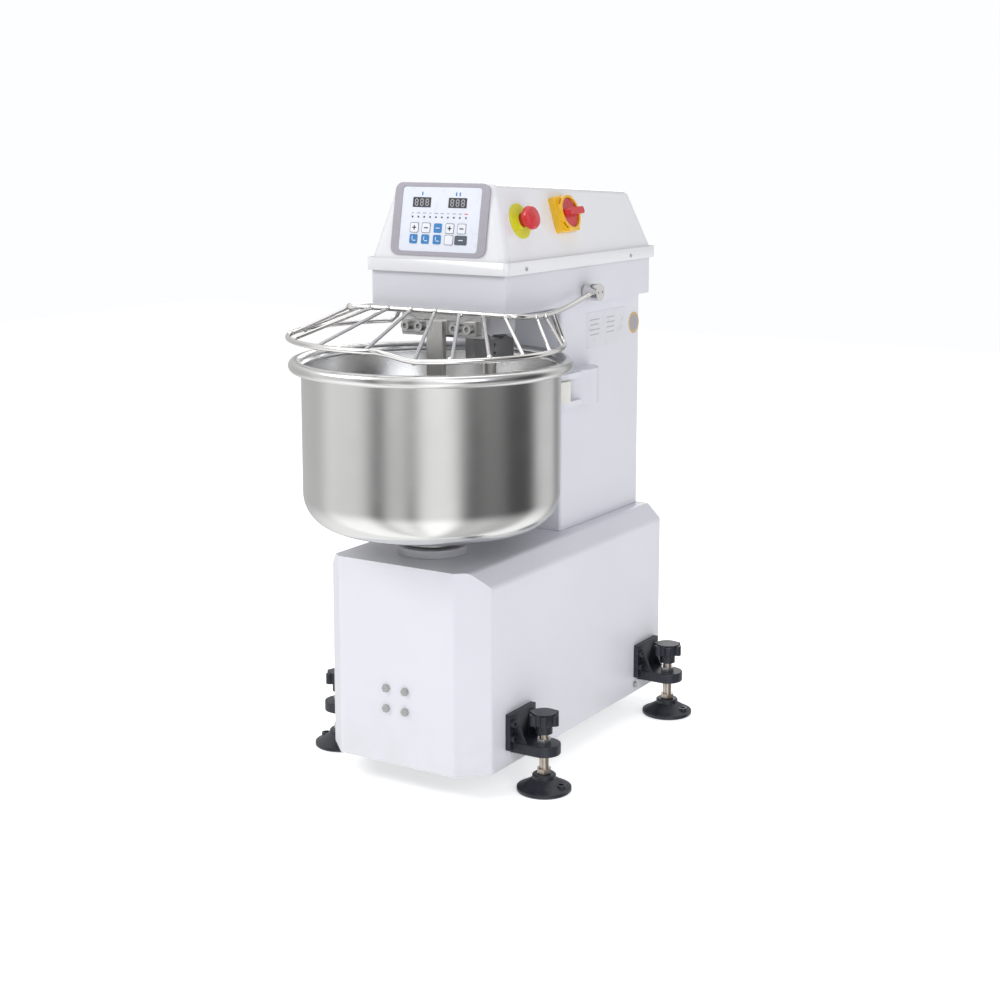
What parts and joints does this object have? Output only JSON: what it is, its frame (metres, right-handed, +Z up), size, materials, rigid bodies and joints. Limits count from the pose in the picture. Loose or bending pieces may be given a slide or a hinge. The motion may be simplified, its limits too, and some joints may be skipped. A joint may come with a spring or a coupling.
{
  "type": "spiral dough mixer",
  "caption": "Floor-standing commercial dough mixer with a turning steel bowl, a spiral hook, a breaker bar, a hinged wire guard, a control panel and levelling feet.",
  "frame": {"origin": "floor level, centre of the overall footprint", "axes": "+Z up, +X to the machine's right, the bowl and control panel face -Y"},
  "size_m": [0.514, 0.7816, 1.0036],
  "materials": {
    "white_paint": "satin powder coat",
    "white_shell": "glossy gelcoat",
    "stainless": "satin brushed",
    "polished_steel": "polished",
    "chassis_steel": "matt primer",
    "machined_steel": "machined",
    "housing_paint": "satin paint",
    "motor_paint": "satin paint",
    "belt_rubber": "matt",
    "black_plastic": "moulded, fine texture",
    "black_iron": "painted casting",
    "grey_overlay": "satin film",
    "white_overlay": "satin film",
    "display_black": "gloss window",
    "key_film": "satin film",
    "circuit_green": "lacquered",
    "yellow_plastic": "gloss",
    "red_plastic": "gloss",
    "nylon": "satin",
    "foot_steel": "zinc plated, knob black",
    "gland_plastic": "matt"
  },
  "bodies": {
    "frame": {"base_shell": "white_paint", "chassis": "chassis_steel", "bowl_bearing_housing": "housing_paint", "ball_bearings": "machined_steel", "bowl_motor": "motor_paint", "bowl_belt": "belt_rubber", "column_shell": "white_paint", "column_rear_cover": "white_paint", "spiral_motor": "motor_paint", "spiral_belts": "belt_rubber", "spiral_bearing_housing": "housing_paint", "head_pan": "white_paint", "head_lid": "white_shell", "head_plate": "chassis_steel", "breaker_bracket": "machined_steel", "breaker_bar": "stainless", "breaker_screws": "machined_steel", "guard_pivot_pins": "machined_steel", "guard_switch": "chassis_steel", "panel_bezel": "grey_overlay", "panel_face": "white_overlay", "panel_displays": "display_black", "membrane_keys": "key_film", "control_board": "circuit_green", "estop_collar": "yellow_plastic", "switch_plate": "yellow_plastic", "contact_blocks": "gland_plastic", "roller_housings": "white_paint", "roller_pins": "machined_steel", "foot_brackets": "black_iron", "bracket_screws": "black_iron", "foot_lock_nuts": "machined_steel", "cover_screws": "machined_steel", "cable_gland": "gland_plastic"},
    "bowl": {"bowl": "stainless", "bowl_flange": "machined_steel", "bowl_shaft": "machined_steel", "bowl_pulley": "machined_steel"},
    "bowl_drive": {"bowl_motor_pulley": "machined_steel"},
    "spiral": {"spiral_hook": "stainless", "spiral_hub": "stainless", "spiral_shaft": "machined_steel", "spiral_pulley": "machined_steel"},
    "spiral_drive": {"spiral_motor_pulley": "machined_steel"},
    "guard": {"guard_upper_frame": "polished_steel", "guard_lower_hoop": "polished_steel", "guard_spokes": "polished_steel", "guard_pivot_blocks": "polished_steel"},
    "estop": {"estop_button": "red_plastic"},
    "main_switch": {"switch_knob": "red_plastic"},
    "roller_left": {"guide_roller_left": "nylon"},
    "roller_right": {"guide_roller_right": "nylon"},
    "foot_fl": {"foot_pad_fl": "black_plastic", "foot_screw_fl": "foot_steel"},
    "foot_fr": {"foot_pad_fr": "black_plastic", "foot_screw_fr": "foot_steel"},
    "foot_rl": {"foot_pad_rl": "black_plastic", "foot_screw_rl": "foot_steel"},
    "foot_rr": {"foot_pad_rr": "black_plastic", "foot_screw_rr": "foot_steel"}
  },
  "joints": [
    {"name": "bowl_spin", "type": "hinge", "parent": "frame", "child": "bowl", "pos_m": [0, -0.15, 0.5], "axis": [0, 0, 1], "continuous": true},
    {"name": "bowl_motor_spin", "type": "hinge", "parent": "frame", "child": "bowl_drive", "pos_m": [0, 0.13, 0.31], "axis": [0, 0, 1], "continuous": true},
    {"name": "spiral_spin", "type": "hinge", "parent": "frame", "child": "spiral", "pos_m": [0.048, -0.044, 0.7], "axis": [0, 0, 1], "continuous": true},
    {"name": "spiral_motor_spin", "type": "hinge", "parent": "frame", "child": "spiral_drive", "pos_m": [0, 0.25, 0.83], "axis": [0, 0, 1], "continuous": true},
    {"name": "guard_lift", "type": "hinge", "parent": "frame", "child": "guard", "pos_m": [0, 0.127, 0.811], "axis": [-1, 0, 0], "range_deg": [0, 28]},
    {"name": "estop_press", "type": "slide", "parent": "frame", "child": "estop", "axis": [-0.9568, 0, -0.2907], "range_m": [0, 0.006], "stiffness_N_per_m": 800, "springref_m": -0.002},
    {"name": "switch_turn", "type": "hinge", "parent": "frame", "child": "main_switch", "pos_m": [0.11523, 0.08, 0.945], "axis": [0.9568, 0, 0.2907], "range_deg": [0, 90]},
    {"name": "roller_left_spin", "type": "hinge", "parent": "frame", "child": "roller_left", "pos_m": [-0.128, 0.05112, 0.64], "axis": [0, 0, 1], "continuous": true},
    {"name": "roller_right_spin", "type": "hinge", "parent": "frame", "child": "roller_right", "pos_m": [0.128, 0.05112, 0.64], "axis": [0, 0, 1], "continuous": true},
    {"name": "foot_fl_travel", "type": "slide", "parent": "frame", "child": "foot_fl", "axis": [0, 0, -1], "range_m": [0, 0.006]},
    {"name": "foot_fr_travel", "type": "slide", "parent": "frame", "child": "foot_fr", "axis": [0, 0, -1], "range_m": [0, 0.006]},
    {"name": "foot_rl_travel", "type": "slide", "parent": "frame", "child": "foot_rl", "axis": [0, 0, -1], "range_m": [0, 0.006]},
    {"name": "foot_rr_travel", "type": "slide", "parent": "frame", "child": "foot_rr", "axis": [0, 0, -1], "range_m": [0, 0.006]}
  ],
  "couplings": [
    {"joint": "bowl_motor_spin", "follows": "bowl_spin", "ratio": 3.9583},
    {"joint": "spiral_motor_spin", "follows": "spiral_spin", "ratio": 2.7143},
    {"joint": "roller_left_spin", "follows": "bowl_spin", "ratio": -9.8182},
    {"joint": "roller_right_spin", "follows": "bowl_spin", "ratio": -9.8182}
  ]
}
